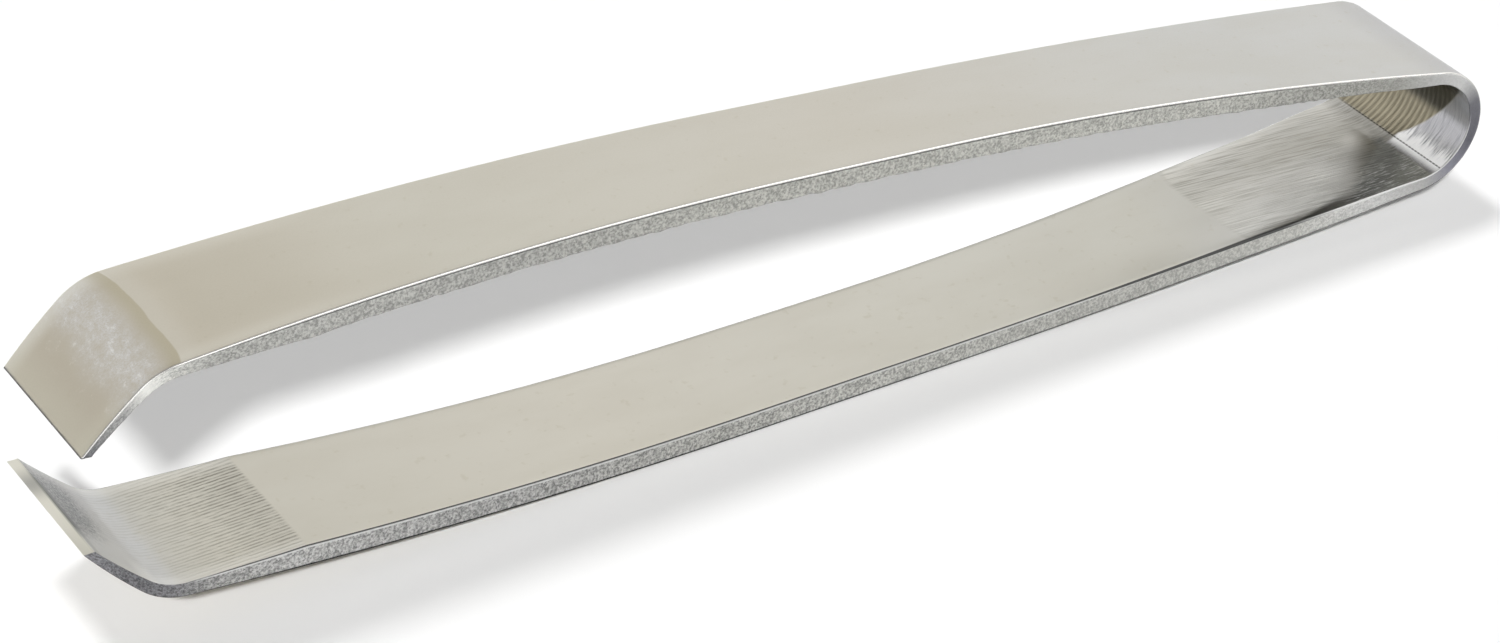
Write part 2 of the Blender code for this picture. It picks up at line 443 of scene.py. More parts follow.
# Colours that are laid over those: red, green, blue and strength.
CLOUD = (0.47, 0.435, 0.35, 0.16)
DOT = (0.43, 0.39, 0.28, 0.22)
CREASE_HIGHLIGHT = (0.585, 0.555, 0.48, 0.7)
CREASE_SHADE = (0.43, 0.39, 0.28, 0.65)
# painted shade for the middle of the arm near the jaw
ARM_MIDDLE_SHADE = (0.47, 0.435, 0.35, 0.3)
ARM_EDGE_SHEEN = (0.68, 0.66, 0.59, 0.35)
JAW_EDGE_SHEEN = (0.62, 0.60, 0.50, 0.3)
FAR_EDGE_SHEEN = (0.72, 0.71, 0.66, 0.55)
FROST_AND_HIGHLIGHT = (0.635, 0.635, 0.635, 1.0)
FROST_GLINT = (0.82, 0.81, 0.77, 0.5)
JAW_END_SHEEN = (0.60, 0.58, 0.48, 0.4)
TIP_LINE = (0.10, 0.10, 0.11, 0.85)
# painted shade under the upper half's rolled edge
UPPER_EDGE_SHADE = (0.08, 0.08, 0.08, 0.85)
SIDE_FOOT_SHADE = (0.01, 0.01, 0.01, 1.0)
LIP_HIGHLIGHT = (0.80, 0.80, 0.79, 0.85)
LIP_SHADE = (0.04, 0.04, 0.04, 0.92)
GROUND_LINE = (0.235, 0.225, 0.19, 1.0)
GROUND_LANE = (0.235, 0.225, 0.19, 0.22)
GROUND_START = (0.235, 0.225, 0.19, 0.16)
GROUND_BORDER = (0.235, 0.225, 0.19, 0.15)
GROUND_SHEEN = (0.95, 0.95, 0.92, 0.75)
GROUND_EDGE = (0.76, 0.75, 0.71, 0.3)
RIB_TAN_REFLECTION = (0.385, 0.35, 0.262, 1.0)
RIB_GROOVE = (0.17, 0.15, 0.10, 0.42)
BOW_TOP_SHADE = (0.085, 0.085, 0.073, 0.85)
WALL_REFLECTION = (0.66, 0.66, 0.69, 1.0)
WALL_REFLECTED_STREAK = (0.36, 0.37, 0.41, 0.6)
WALL_TOP_SHADE = (0.27, 0.285, 0.30, 0.9)
WALL_HIGHLIGHT = (1.0, 1.0, 1.0, 1.0)
CORNER_LIGHT_PATCH = (0.95, 0.93, 0.87, 0.4)
FLOOR_LIGHT_PATCH = (0.95, 0.94, 0.90, 0.32)
WEDGE_RIM_LIGHT = (0.92, 0.91, 0.88, 0.15)
WEDGE_LINE = (0.10, 0.10, 0.10, 0.5)
SEAM = (0.03, 0.03, 0.028, 1.0)
# painted shade beside the near lip
EDGE_SHADE = (0.03, 0.03, 0.028, 0.95)
GLINT = (0.80, 0.80, 0.80, 0.9)
JAW_CORNER_SHADE = (0.11, 0.115, 0.12, 1.0)
JAW_TIP_DARK = (0.08, 0.085, 0.07, 0.88)
JAW_TURN_HIGHLIGHT = (0.85, 0.85, 0.83, 0.5)
TIP_FAR = (0.27, 0.27, 0.26, 0.7)
TIP_INSIDE = (0.25, 0.25, 0.23, 0.7)

# Pairs of colours that are mixed first: red, green and blue.
ROLLED_EDGE_LIGHT_AND_SHADE = ((0.03, 0.03, 0.03), (0.93, 0.92, 0.89))
WEDGE_SHADE = ((0.30, 0.305, 0.285), (0.47, 0.475, 0.425))
TIP_STEEL = ((0.64, 0.62, 0.555), (0.72, 0.71, 0.63))

# Roughness. It follows the noise on the outer face and the tip, grows from the side's first edge
# inwards, and falls from the satin to the ground zones of the inner face.
OUTER_ROUGHNESS = (0.38, 0.45)
SIDE_ROUGHNESS = (0.25, 0.48)
INNER_ROUGHNESS = (0.42, 0.31)
TIP_ROUGHNESS = (0.30, 0.42)

# How strong the bumps are, and how high in metres.
OUTER_BUMP = (0.10, 0.00004)
SIDE_BUMP = (0.38, 0.00012)
INNER_BUMP = (0.3, 0.00010)
TIP_BUMP = (0.2, 0.00005)

# How much of the light the ground corner of the bow scatters, where it isn't a mirror.
WEDGE_SCATTER = 0.4
PEAK_SCATTER = 0.65

# Noise: how fine it is along the strip, across it and into it, and its detail and roughness.
SHEET_CLOUD_NOISE = ((0.06, 0.16, 0.1), 4.0, 0.6)
SHEET_DOT_NOISE = ((1.4, 1.4, 1.4), 2.0, 0.5)
SATIN_NOISE = ((7.0, 7.0, 7.0), 3.0, 0.5)
CREASE_NOISE = ((0.0, 0.25, 0.0), 2.0, 0.5)
FROST_NOISE = ((1.3, 0.9, 0.8), 8.0, 0.8)
FROST_FINE_NOISE = ((6.4, 8.0, 8.0), 4.0, 0.8)
FROST_PATCH_NOISE = ((0.35, 0.3, 0.3), 3.0, 0.5)
SIDE_NOISE = ((5.6, 5.6, 9.52), 3.0, 0.7)
JAW_LINE_NOISE = ((0.1, 0.7, 0.0), 2.0, 0.5)
JAW_BREAK_NOISE = ((0.75, 4.0, 0.0), 4.0, 0.7)
BOW_LINE_NOISE = ((0.22, 6.0, 0.0), 3.0, 0.6)
WALL_STREAK_NOISE = ((0.25, 4.0, 0.0), 3.0, 0.7)
GLINT_NOISE = ((0.8, 6.0, 0.0), 3.0, 0.7)
JAW_DARK_NOISE = ((1.44, 1.44, 0.0), 5.0, 0.8)
JAW_PIT_NOISE = ((4.0, 4.0, 0.0), 3.0, 0.8)
TIP_NOISE = ((0.2, 0.3, 9.0), 2.0, 0.5)

# Places in millimetres. A pair says where a pattern is absent, then where it is full.
HALF_JAW = 6.4
CREASE = 115.35
CREASE_BULGE = 0.5
CREASE_WAVER = 0.5
FROST_END = 118.4
GLARE_AT_BEND = 119.0
SIDE_PLANE = 0.09
REAR_GROUND = (25.4, 24.6)
FRONT_GROUND = (106.6, 107.0)
BOW_SEAM = -5.75

# The part of the rear wall that is painted bright as a reflection: how far across it reaches at its foot,
# and how it narrows above it.
BRIGHT_TO = -0.97
BRIGHT_FOOT = -5.2
BRIGHT_NARROWS = 0.565

# Patterns that run at a slant: millimetres across for each millimetre along.
JAW_LINES_LEAN = -0.09
BOW_LINES_LEAN = 0.17
WEDGE_LEAN = 0.78
JAW_DARK_LEAN = 0.55

# Waves across the strip, in radians for each millimetre.
RIB_WAVES = 11.4
JAW_LINE_WAVES = 17.9
SEAM_WAVES = 17.0


class Nodes:
    """The shader nodes of one tree. A value handed in is a number, a colour or another node's socket."""

    def __init__(self, tree):
        self.tree = tree

    def feed(self, socket, value):
        """Links a value to an input, or sets it there."""
        if isinstance(value, bpy.types.NodeSocket):
            self.tree.links.new(value, socket)
        elif socket.type == "RGBA":
            socket.default_value = (*value, 1)
        else:
            socket.default_value = value

    def add(self, kind, inputs=None, **settings):
        """A new node with these inputs and settings."""
        node = self.tree.nodes.new("ShaderNode" + kind)
        for key, value in settings.items():
            setattr(node, key, value)
        for key, value in (inputs or {}).items():
            self.feed(node.inputs[key], value)
        return node

    def math(self, operation, *values):
        return self.add("Math", dict(enumerate(values)), operation=operation).outputs[0]

    def product(self, first, *others):
        for other in others:
            first = self.math("MULTIPLY", first, other)
        return first

    def total(self, first, *others):
        for other in others:
            first = self.math("ADD", first, other)
        return first

    def scaled(self, value, factor, plus):
        """value * factor + plus"""
        return self.math("MULTIPLY_ADD", value, factor, plus)

    def ramp(self, value, low, high, start=0.0, stop=1.0):
        """Goes smoothly from start to stop as the value goes from low to high."""
        inputs = {"Value": value, "From Min": low, "From Max": high, "To Min": start, "To Max": stop}
        return self.add("MapRange", inputs, interpolation_type="SMOOTHSTEP").outputs["Result"]

    def band(self, value, middle, reach):
        """1 at the middle, and 0 from this far away on either side."""
        away = self.math("ABSOLUTE", self.math("SUBTRACT", value, middle))
        return self.ramp(away, reach, 0.0)

    def mix(self, share, one, other, blend="MIX"):
        """Mixes two colours."""
        node = self.add("Mix", data_type="RGBA", blend_type=blend)
        values = {"Factor_Float": share, "A_Color": one, "B_Color": other}
        for socket in node.inputs:
            if socket.identifier in values:
                self.feed(socket, values[socket.identifier])
        return next(socket for socket in node.outputs if socket.identifier == "Result_Color")

    def seen(self):
        """1 for what is looked at, directly or in a reflection, and 0 for light that falls on a surface."""
        rays = self.add("LightPath").outputs
        seen = self.math("MAXIMUM", rays["Is Camera Ray"], rays["Is Glossy Ray"])
        return self.math("MAXIMUM", seen, rays["Is Transmission Ray"])


class Steel(Nodes):
    """A new steel material, whose colour is painted in layers.

    signed is millimetres along the strip, negative on the lower half, and along is the same without its
    sign. across is millimetres from the middle line, gap is millimetres from the nearer edge, and depth
    is the share of the wall's thickness.
    """

    def __init__(self, name):
        self.material = bpy.data.materials.new(name)
        self.material.use_nodes = True
        super().__init__(self.material.node_tree)
        self.shader = self.tree.nodes["Principled BSDF"]
        self.shader.inputs["Metallic"].default_value = 1
        self.marks = self.add("Attribute", attribute_name="strip_place").outputs["Vector"]
        self.signed, self.across, self.depth = self.add("SeparateXYZ", {0: self.marks}).outputs
        self.along = self.math("ABSOLUTE", self.signed)
        self.gap = self.add("Attribute", attribute_name="strip_gap").outputs["Fac"]
        self.colour = None

    def speckle(self, fineness, detail, roughness, marks=None):
        """Noise between 0 and 1, this fine along the strip, across it and into it."""
        inputs = {0: marks or self.marks, 1: fineness}
        vector = self.add("VectorMath", inputs, operation="MULTIPLY").outputs[0]
        inputs = {"Vector": vector, "Scale": 1.0, "Detail": detail, "Roughness": roughness}
        return self.add("TexNoise", inputs).outputs[0]

    def stripes(self, value, waves):
        """Even stripes, from 0 to 1 and back, this many radians for each millimetre."""
        return self.scaled(self.math("SINE", self.math("MULTIPLY", value, waves)), 0.5, 0.5)

    def skewed(self, lean):
        """The place across, moved by this lean for each millimetre along, and the marks with it."""
        row = self.scaled(self.signed, lean, self.across)
        return row, self.add("CombineXYZ", {0: self.signed, 1: row}).outputs[0]

    def lay(self, value, stops):
        """Starts with a colour that changes through these stops, given in millimetres up to REACH."""
        node = self.add("ValToRGB", {0: self.scaled(value, 0.5 / REACH, 0.5)})
        elements = node.color_ramp.elements
        while len(elements) < len(stops):
            elements.new(1.0)
        for element, (place_mm, colour) in zip(elements, stops):
            element.position = place_mm / REACH * 0.5 + 0.5
            element.color = (*colour, 1)
        self.colour = node.outputs[0]

    def cover(self, colour, share):
        """Lays a colour over the present one, as strongly as the share says."""
        self.colour = self.mix(share, self.colour, colour)

    def paint(self, layer, *shares):
        """Lays red, green and blue over the present colour, as strongly as strength times the shares."""
        *colour, strength = layer
        self.cover(colour, self.product(strength, *shares))

    def cloud(self):
        """A little cloudiness and a few faint dots, as on a pickled and rolled sheet."""
        clouds = self.speckle(*SHEET_CLOUD_NOISE)
        self.paint(CLOUD, self.ramp(clouds, 0.35, 0.68))
        dots = self.speckle(*SHEET_DOT_NOISE)
        self.paint(DOT, self.ramp(dots, 0.62, 0.78))

    def finish(self, roughness, height, strength, distance):
        """Links the colour, the roughness and a bump of this height, and returns the material."""
        inputs = {"Height": height, "Strength": strength, "Distance": distance}
        self.feed(self.shader.inputs["Normal"], self.add("Bump", inputs).outputs["Normal"])
        self.feed(self.shader.inputs["Base Color"], self.colour)
        self.feed(self.shader.inputs["Roughness"], roughness)
        return self.material


def make_outer():
    """The satin outer face, with a crease and frosting at the bend, painted highlights and shade at the
    bend, along the edges and towards the tip, and its rolled edge painted light and dark.
    """
    steel = Steel("satin_outer_face")
    along, across, gap = steel.along, steel.across, steel.gap
    ramp, paint = steel.ramp, steel.paint
    steel.lay(along, SATIN)
    steel.cloud()
    # the crease bulges towards the arm, and everything at the bend follows it
    bulge = steel.math("POWER", steel.math("DIVIDE", across, HALF_JAW), 4.0)
    waver = steel.scaled(steel.speckle(*CREASE_NOISE), CREASE_WAVER, CREASE)
    beyond = steel.math("SUBTRACT", along, steel.scaled(bulge, CREASE_BULGE, waver))
    # painted highlight: a lighter band on the arm's side of the crease
    paint(CREASE_HIGHLIGHT, ramp(beyond, -2.2, -0.4), ramp(beyond, 0.06, -0.06))
    # painted shade: darker in the middle of the arm before the crease
    paint(ARM_MIDDLE_SHADE, ramp(along, 100.0, 108.0), ramp(gap, 0.8, 3.6), ramp(beyond, -1.0, -3.5))
    # painted sheen: lighter along the edges of the arm near the jaw, and of the jaw
    paint(ARM_EDGE_SHEEN, ramp(gap, 1.9, 0.4), ramp(along, 98.0, 108.0), ramp(beyond, 0.1, -0.1))
    paint(JAW_EDGE_SHEEN, ramp(gap, 2.2, 0.2), ramp(along, 119.0, 122.0))
    # frosting, lighter as a painted highlight of the bend, with painted glints
    paint_frost_and_highlight(steel, beyond)
    # painted sheen: lighter along the jaw's far edge
    paint(FAR_EDGE_SHEEN, ramp(across, 4.3, 6.2), ramp(beyond, -0.3, 0.3))
    # painted highlight: lighter towards the tip
    paint(JAW_END_SHEEN, ramp(along, 122.0, 125.0))
    # painted shade: the crease and a narrow olive band beyond it are darkened
    paint(CREASE_SHADE, ramp(beyond, -0.06, 0.06), ramp(beyond, 1.5, 0.2))
    # the rolled edge is painted bright as a highlight on the upper half, and painted dark as shade on the
    # lower one, which lies on it
    rolled = ramp(steel.depth, 0.004, 0.02)
    steel.cover(steel.mix(ramp(steel.signed, -1.0, 8.0), *ROLLED_EDGE_LIGHT_AND_SHADE), rolled)
    paint(TIP_LINE, ramp(along, 125.15, 125.3))
    grain = steel.speckle(*SATIN_NOISE)
    roughness = steel.scaled(rolled, -0.20, ramp(grain, 0.3, 0.7, *OUTER_ROUGHNESS))
    return steel.finish(roughness, grain, *OUTER_BUMP)


def paint_frost_and_highlight(steel, beyond):
    """Grey frosting, lighter than the jaw as a painted highlight of the bend, with painted glints, from the
    crease to a ragged end on the jaw.
    """
    along, ramp = steel.along, steel.ramp
    mottle = steel.speckle(*FROST_NOISE)
    fine = steel.speckle(*FROST_FINE_NOISE)
    patches = steel.speckle(*FROST_PATCH_NOISE)
    past_end = steel.scaled(patches, -4.0, steel.math("SUBTRACT", along, FROST_END))
    texture = steel.product(ramp(mottle, 0.32, 0.64, 0.25, 1.0), ramp(fine, 0.36, 0.60, 0.3, 1.0))
    steel.paint(FROST_AND_HIGHLIGHT, texture, ramp(beyond, 0.4, 2.6), ramp(past_end, 2.0, -1.4))
    steel.paint(FROST_GLINT, ramp(mottle, 0.55, 0.66), ramp(along, 116.8, 118.0), ramp(along, 124.0, 119.5))


def make_side():
    """The sheared side: a speckled grain, with painted shade under the upper edge and above the lower one.
    """
    steel = Steel("sheared_side")
    along, signed, depth = steel.along, steel.signed, steel.depth
    ramp, paint = steel.ramp, steel.paint
    steel.lay(signed, SHEARED)
    # the grain is read on one plane, so that the roughness of the side doesn't change it
    plane = steel.add("CombineXYZ", {0: signed, 1: SIDE_PLANE, 2: depth}).outputs[0]
    grain = steel.speckle(*SIDE_NOISE, plane)
    calm = steel.product(ramp(along, 6.0, 18.0, 0.25, 1.0), ramp(signed, -78.0, -20.0, 1.0, 0.46))
    # painted highlight: the side is bright at the upper jaw's bend, with less grain and roughness there
    glare = steel.band(signed, GLARE_AT_BEND, 2.2)
    shade = steel.product(
        ramp(grain, 0.34, 0.66, -0.50, 0.50),
        calm,
        ramp(signed, 5.0, 20.0, 1.0, 1.5),
        steel.scaled(glare, -0.9, 1.0),
    )
    steel.colour = steel.mix(1.0, steel.colour, steel.total(shade, 1.0), "MULTIPLY")
    # painted shade: a dark line under the upper half's rolled edge
    paint(UPPER_EDGE_SHADE, ramp(depth, 0.075, 0.095), ramp(depth, 0.175, 0.125), ramp(signed, 10.0, 30.0))
    # painted shade: a dark line along the lower half's outer edge
    foot_shade = steel.product(ramp(depth, 0.16, 0.11), ramp(signed, -12.0, -24.0))
    paint(SIDE_FOOT_SHADE, foot_shade, ramp(signed, -25.0, -80.0, 0.65, 1.0))
    # the lower half's lip: a painted highlight below the edge, and a painted dark line of shade along the
    # edge itself
    lip = steel.product(ramp(depth, 0.885, 0.905), ramp(signed, 1.5, -3.0), ramp(signed, -117.0, -113.0))
    paint(LIP_HIGHLIGHT, lip)
    past_lip = steel.math("SUBTRACT", depth, ramp(along, 30.0, 45.0, 0.90, 0.958))
    paint(LIP_SHADE, ramp(past_lip, 0.0, 0.02), ramp(signed, -14.0, -22.0), ramp(signed, -117.5, -112.0))
    roughness = ramp(depth, 0.15, 0.3, *SIDE_ROUGHNESS)
    roughness = steel.scaled(glare, -0.2, roughness)
    roughness = steel.scaled(lip, -0.15, roughness)
    height = steel.product(grain, ramp(depth, 0.2, 0.3), ramp(depth, 0.86, 0.78), calm)
    return steel.finish(roughness, height, *SIDE_BUMP)


def make_inner():
    """The inner face: satin between two ground zones, with painted shade and painted highlights inside the
    bow and at the jaw.
    """
    steel = Steel("inner_face")
    steel.lay(steel.signed, INNER)
    steel.cloud()
    rear, front, even, loose = paint_grinding(steel)
    ribs, comb, wall_highlight = paint_rear_wall(steel)
    wedge_shade = paint_bow_floor(steel, loose, comb)
    paint_near_edge(steel)
    # painted glints in the wedge of painted shade
    sparks = steel.ramp(steel.speckle(*GLINT_NOISE), 0.50, 0.66)
    steel.paint(GLINT, wedge_shade, sparks, steel.ramp(steel.gap, 4.6, 1.8, 0.2, 0.95))
    paint_jaw(steel)
    # the coarse grinding in the corner of the bow scatters light, so it isn't a mirror there
    scatter = steel.total(steel.product(wedge_shade, WEDGE_SCATTER), steel.product(wall_highlight, PEAK_SCATTER))
    steel.feed(steel.shader.inputs["Metallic"], steel.math("SUBTRACT", 1.0, scatter))
    roughness = steel.ramp(steel.math("MAXIMUM", rear, front), 0.0, 1.0, *INNER_ROUGHNESS)
    grooves = steel.total(steel.product(even, -1.0), steel.product(loose, rear, -0.7))
    height = steel.total(grooves, steel.product(ribs, -0.5))
    return steel.finish(roughness, height, *INNER_BUMP)


def paint_grinding(steel):
    """Ground lines, nearly along the strip: close and even at the jaws, finer and looser at the bow."""
    along, across, gap = steel.along, steel.across, steel.gap
    ramp, paint = steel.ramp, steel.paint
    # the rear zone reaches less far at the strip's edges
    corner = steel.math("POWER", steel.math("DIVIDE", steel.math("ABSOLUTE", across), HALF_JAW), 8.0)
    reach = steel.scaled(corner, 1.5, along)
    rear, front = ramp(reach, *REAR_GROUND), ramp(along, *FRONT_GROUND)
    row, combed = steel.skewed(JAW_LINES_LEAN)
    waves = steel.stripes(steel.scaled(steel.speckle(*JAW_LINE_NOISE), 0.35, row), JAW_LINE_WAVES)
    broken = steel.speckle(*JAW_BREAK_NOISE, combed)
    even = steel.product(
        ramp(waves, 0.2, 0.9, 0.15, 1.0),
        ramp(broken, 0.36, 0.60, 0.2, 0.9),
        front,
        ramp(along, 119.0, 107.5, 0.3, 1.0),
        ramp(along, 121.5, 119.0),
    )
    _, slanted = steel.skewed(BOW_LINES_LEAN)
    loose = steel.speckle(*BOW_LINE_NOISE, slanted)
    paint(GROUND_LANE, steel.band(across, 2.4, 2.6), rear)
    # painted highlight: a lighter band on the near side of the rear ground zone
    paint(GROUND_SHEEN, ramp(across, -1.0, -6.0), ramp(along, 34.0, 22.0))
    jaw_lines = steel.product(even, ramp(across, -4.0, 4.0, 0.7, 1.05), ramp(gap, 0.2, 1.5, 0.3, 1.0))
    bow_lines = steel.product(ramp(loose, 0.42, 0.66), rear, ramp(along, 5.5, 6.5))
    bow_lines = steel.product(bow_lines, ramp(across, -3.0, 3.0, 0.36, 0.64))
    paint(GROUND_LINE, steel.total(jaw_lines, bow_lines))
    paint(GROUND_START, front, ramp(along, 111.5, 107.0))
    paint(GROUND_BORDER, steel.band(reach, 25.0, 0.4), ramp(along, *REAR_GROUND))
    bare = steel.total(steel.product(rear, ramp(across, 2.5, 4.5)), front)
    paint(GROUND_EDGE, bare, ramp(gap, 1.7, 0.3), ramp(along, 123.5, 121.0))
    return rear, front, even, loose


def paint_rear_wall(steel):
    """The bow's rear wall: ribs on its far part painted tan as a reflection, painted shade at its top, and a
    near part painted bright and streaked as a reflection.
    """
    signed, across = steel.signed, steel.across
    ramp, paint = steel.ramp, steel.paint
    rise = steel.math("MAXIMUM", steel.math("SUBTRACT", signed, BRIGHT_FOOT), 0.0)
    near = ramp(steel.total(steel.scaled(rise, BRIGHT_NARROWS, -BRIGHT_TO), across), 0.2, -0.2)
    far = steel.product(steel.math("SUBTRACT", 1.0, near), ramp(signed, 5.5, 3.5))
    ribbed = steel.product(far, ramp(signed, -6.0, -5.5))
    ribs = steel.stripes(across, RIB_WAVES)
    # painted reflection: the far ribs are tan
    paint(RIB_TAN_REFLECTION, ribbed)
    paint(RIB_GROOVE, ribbed, ramp(ribs, 0.5, 1.0))
    # painted shade: dark at the top of the far part
    paint(BOW_TOP_SHADE, far, ramp(signed, -1.8, -0.4))
    bright = steel.product(near, ramp(signed, -7.1, -6.6), ramp(signed, 4.5, 0.5))
    streaks = steel.speckle(*WALL_STREAK_NOISE)
    comb = steel.scaled(streaks, 6.0, -3.0)
    # painted reflection: the near part is bright, with darker streaks, darker towards its top, and a painted
    # white highlight at its foot
    paint(WALL_REFLECTION, bright)
    paint(WALL_REFLECTED_STREAK, bright, ramp(streaks, 0.45, 0.68))
    paint(WALL_TOP_SHADE, bright, ramp(signed, -1.6, 2.6))
    wall_highlight = steel.product(bright, ramp(signed, -7.0, -5.8), ramp(steel.total(signed, comb), -3.5, -4.9))
    paint(WALL_HIGHLIGHT, wall_highlight)
    return steel.product(ribbed, ribs), comb, wall_highlight


def paint_bow_floor(steel, loose, comb):
    """The lower arm's root: painted light patches, a wedge of painted shade before the rear wall with a
    painted light rim, and the seam below the wall.
    """
    signed, across = steel.signed, steel.across
    ramp, band, paint = steel.ramp, steel.band, steel.paint
    into = steel.math("SUBTRACT", steel.scaled(signed, WEDGE_LEAN, 5.75), across)
    into = steel.total(into, steel.scaled(loose, 3.6, -1.8))
    before_wall = ramp(steel.scaled(comb, 0.33, signed), -6.6, -7.2)
    wedge_shade = steel.product(ramp(into, -0.3, 1.1), before_wall)
    # painted light: two pale patches
    paint(CORNER_LIGHT_PATCH, band(signed, -8.5, 2.2), band(across, 0.5, 2.0))
    paint(FLOOR_LIGHT_PATCH, band(signed, -14.0, 3.8), band(across, -2.2, 2.6))
    # painted light: a pale rim just outside the wedge
    outside = steel.product(band(into, -1.0, 2.4), ramp(into, 0.3, -0.5))
    paint(WEDGE_RIM_LIGHT, outside, before_wall, ramp(signed, -15.0, -12.0))
    # painted shade: the wedge before the rear wall is darker, darkest along its edge
    steel.cover(steel.mix(ramp(into, 2.0, 5.5), *WEDGE_SHADE), wedge_shade)
    paint(WEDGE_LINE, wedge_shade, ramp(loose, 0.40, 0.62))
    dotted = ramp(steel.stripes(across, SEAM_WAVES), 0.0, 0.5, 0.5, 0.95)
    paint(SEAM, band(signed, BOW_SEAM, 0.13), dotted, ramp(across, 6.3, 3.5, 0.3, 1.0))
    return wedge_shade


def paint_near_edge(steel):
    """A painted dark line of shade beside the near lip, which widens into a broad band of painted shade
    towards the bow.
    """
    along, ramp = steel.along, steel.ramp
    wide = steel.total(ramp(along, 34.0, 21.0, 0.06, 0.36), ramp(along, 20.0, 13.0, 0.0, 1.7))
    from_lip = steel.math("DIVIDE", steel.math("SUBTRACT", steel.gap, 0.06), wide)
    near = steel.product(ramp(steel.signed, -6.6, -8.0), ramp(steel.across, 0.0, -2.0))
    fading = steel.product(
        ramp(along, 95.0, 30.0),
        ramp(along, 10.0, 19.0, 0.1, 1.0),
        ramp(along, 25.0, 18.0, 1.0, 0.82),
    )
    # painted shade beside the near lip
    steel.paint(EDGE_SHADE, ramp(from_lip, 1.0, 0.4), near, fading)


def paint_jaw(steel):
    """The jaw's inner face: painted shade, mottled, at the far corner, dark along the tip, and a painted
    highlight at the turn.
    """
    along, across, ramp = steel.along, steel.across, steel.ramp
    mottle = steel.speckle(*JAW_DARK_NOISE)
    pits = steel.speckle(*JAW_PIT_NOISE)
    texture = steel.product(ramp(mottle, 0.3, 0.56, 0.6, 1.0), ramp(pits, 0.36, 0.60, 0.25, 1.15))
    slant = steel.total(steel.scaled(along, JAW_DARK_LEAN, -65.5), across)
    ragged = steel.total(slant, steel.scaled(mottle, 5.0, -2.5))
    corner = steel.product(ramp(ragged, -2.0, 1.6), ramp(along, 119.2, 122.4))
    # painted shade: mottled dark at the jaw's far corner
    steel.paint(JAW_CORNER_SHADE, texture, corner, ramp(across, 6.4, 3.6, 0.35, 1.0))
    from_middle = steel.math("ABSOLUTE", steel.math("SUBTRACT", across, 0.3))
    steel.paint(JAW_TIP_DARK, ramp(along, 124.3, 124.75), ramp(from_middle, 4.4, 2.4, 0.3, 1.0))
    # painted highlight: lighter where the near edge turns up
    steel.paint(JAW_TURN_HIGHLIGHT, steel.band(steel.signed, -119.5, 1.3), ramp(across, -3.0, -5.0))


def make_tip():
    """The ground end of a jaw, darker in its far half and along the inside."""
    steel = Steel("ground_tip")
    across, ramp = steel.across, steel.ramp
    lines = steel.speckle(*TIP_NOISE)
    steel.colour = steel.mix(lines, *TIP_STEEL)
    steel.paint(TIP_FAR, steel.band(across, 3.0, 2.6))
    middle = ramp(steel.math("ABSOLUTE", across), 5.2, 3.2, 0.2, 1.0)
    steel.paint(TIP_INSIDE, ramp(steel.depth, 0.74, 0.88), middle)
    roughness = ramp(lines, 0.3, 0.7, *TIP_ROUGHNESS)
    return steel.finish(roughness, lines, *TIP_BUMP)


def build_strip():
    """Both halves of the strip. Each stands for the bow and its own arm."""
    materials = [make_outer(), make_side(), make_inner(), make_tip()]
    for name, body, side in (("upper_strip", "upper_arm", 1), ("lower_strip", "lower_arm", -1)):
        mesh = strip_mesh(name, side)
        for material in materials:
            mesh.materials.append(material)
        even_seam(mesh)
        piece = bpy.data.objects.new(name, mesh)
        bpy.context.scene.collection.objects.link(piece)
        start, end = on_strip(BLEND_FROM, side), on_strip(BLEND_TO, side)
        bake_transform(piece)
        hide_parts(body, "spring_bow")


# The studio: a pale floor, a soft sky, two soft suns, and two lamps that only show in reflections.
FLOOR_HALF = 6.0
FLOOR_DROP = 0.00002
FLOOR_COLOUR = (0.92, 0.92, 0.92)
FLOOR_ROUGHNESS = 0.9
FLOOR_GLOW = 0.025
SKY_COLOUR = (1.0, 0.995, 0.985)
SKY_LIGHT = 0.16
SKY_SEEN = (0.32, 1.12)

# The window: the direction towards its middle, and how it fades in from its sides and out at its top.
WINDOW_TOWARDS = (0.5, 0.85, 0.0)
WINDOW_SIDES = (-0.1, 0.4)
WINDOW_TOP = (0.88, 0.68)

# Direction towards each sun, its share of the light on the floor, and its width.
SUNS = {
    "key": ((-0.481, -0.632, 0.607), 0.56, radians(5)),
    "top": ((-0.17, 0.29, 0.942), 0.36, radians(12)),
}

# Place of each lamp, its power in watts, and its two sizes.
EDGE_LAMPS = {
    "front_edge": ((0.36, -0.45, 0.56), 1.9, 0.8, 0.6),
    "front_left": ((-0.38, -0.56, 0.40), 1.1, 0.55, 0.55),
}

# The camera that was fitted to the photo.
CAMERA_PLACE = (-0.144631, -0.216449, 0.174282)
CAMERA_TURN = (radians(56.8205), radians(-1.3521), radians(-32.1213))
CAMERA_LENS = 100.55
SENSOR_WIDTH = 36
CLIP_START = 0.01


def build_floor():
    """A wide, pale floor just below the tool, with a faint glow that lights nothing."""
    mesh = bpy.data.meshes.new("floor")
    corners = [(-1, -1), (1, -1), (1, 1), (-1, 1)]
    vertices = [(FLOOR_HALF * x, FLOOR_HALF * y, 0) for x, y in corners]
    mesh.from_pydata(vertices, [], [(0, 1, 2, 3)])
    floor = bpy.data.objects.new("floor", mesh)
    floor.location.z = -FLOOR_DROP
    bpy.context.scene.collection.objects.link(floor)
    material = bpy.data.materials.new("studio_white")
    material.use_nodes = True
    nodes = Nodes(material.node_tree)
    inputs = nodes.tree.nodes["Principled BSDF"].inputs
    nodes.feed(inputs["Base Color"], FLOOR_COLOUR)
    nodes.feed(inputs["Roughness"], FLOOR_ROUGHNESS)
    nodes.feed(inputs["Specular IOR Level"], 0)
    nodes.feed(inputs["Emission Color"], (1, 1, 1))
    nodes.feed(inputs["Emission Strength"], nodes.product(nodes.seen(), FLOOR_GLOW))
    mesh.materials.append(material)


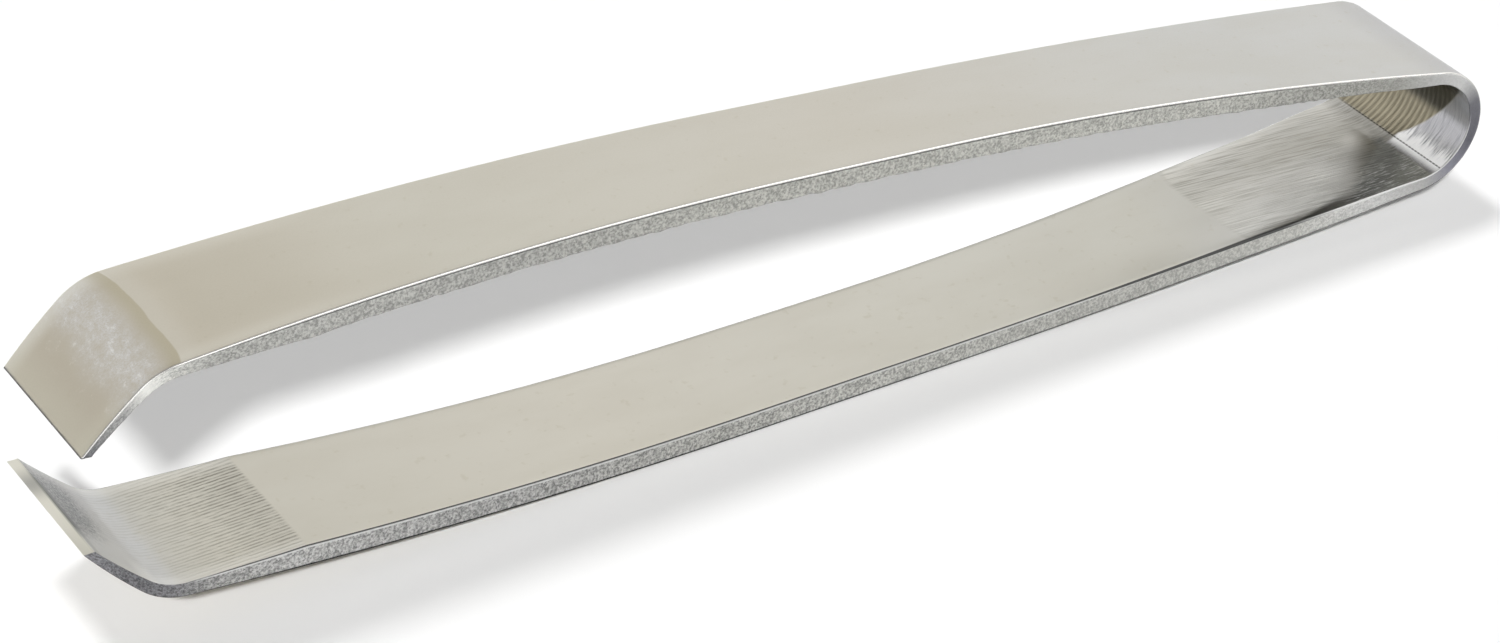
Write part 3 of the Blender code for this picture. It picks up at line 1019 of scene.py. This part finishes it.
def build_sky():
    """A broad soft window behind the tool and grey elsewhere. It lights surfaces as plain grey."""
    world = bpy.data.worlds.new("studio")
    world.use_nodes = True
    nodes = Nodes(world.node_tree)
    direction = nodes.add("TexCoord").outputs["Generated"]
    inputs = {0: direction, 1: WINDOW_TOWARDS}
    towards = nodes.add("VectorMath", inputs, operation="DOT_PRODUCT").outputs["Value"]
    height = nodes.add("SeparateXYZ", {0: direction}).outputs["Z"]
    window = nodes.product(nodes.ramp(towards, *WINDOW_SIDES), nodes.ramp(height, *WINDOW_TOP))
    shine = nodes.ramp(window, 0.0, 1.0, *SKY_SEEN)
    strength = nodes.add("Mix", {0: nodes.seen(), 2: SKY_LIGHT, 3: shine}).outputs[0]
    background = nodes.tree.nodes["Background"]
    nodes.feed(background.inputs["Strength"], strength)
    nodes.feed(background.inputs["Color"], SKY_COLOUR)
    bpy.context.scene.world = world


def add_lamp(name, kind, location, power, **settings):
    """A lamp that looks from its place towards the middle of the scene."""
    lamp = bpy.data.lights.new(name, kind)
    lamp.energy = power
    for key, value in settings.items():
        setattr(lamp, key, value)
    holder = bpy.data.objects.new(name, lamp)
    holder.location = location
    holder.rotation_euler = (-Vector(location)).to_track_quat("-Z", "Y").to_euler()
    bpy.context.scene.collection.objects.link(holder)
    return holder


def build_lamps():
    """The suns light only matt surfaces, and the edge lamps show only in shiny ones."""
    for name, (towards, share, angle) in SUNS.items():
        height = towards[2] / hypot(*towards)
        sun = add_lamp(name, "SUN", towards, share * pi / height, angle=angle)
        sun.visible_glossy = False
    for name, (location, power, size, size_y) in EDGE_LAMPS.items():
        lamp = add_lamp(name, "AREA", location, power, shape="RECTANGLE", size=size, size_y=size_y)
        lamp.visible_diffuse = False


def build_camera():
    """The camera that took the photo, as fitted to it."""
    camera = bpy.data.cameras.new("camera")
    camera.sensor_width = SENSOR_WIDTH
    camera.lens = CAMERA_LENS
    camera.clip_start = CLIP_START
    holder = bpy.data.objects.new("camera", camera)
    holder.location = CAMERA_PLACE
    holder.rotation_euler = CAMERA_TURN
    bpy.context.scene.collection.objects.link(holder)
    bpy.context.scene.camera = holder


build_strip()
build_floor()
build_sky()
build_lamps()
build_camera()
bpy.context.scene.view_settings.view_transform = "Standard"
bpy.context.view_layer.update()
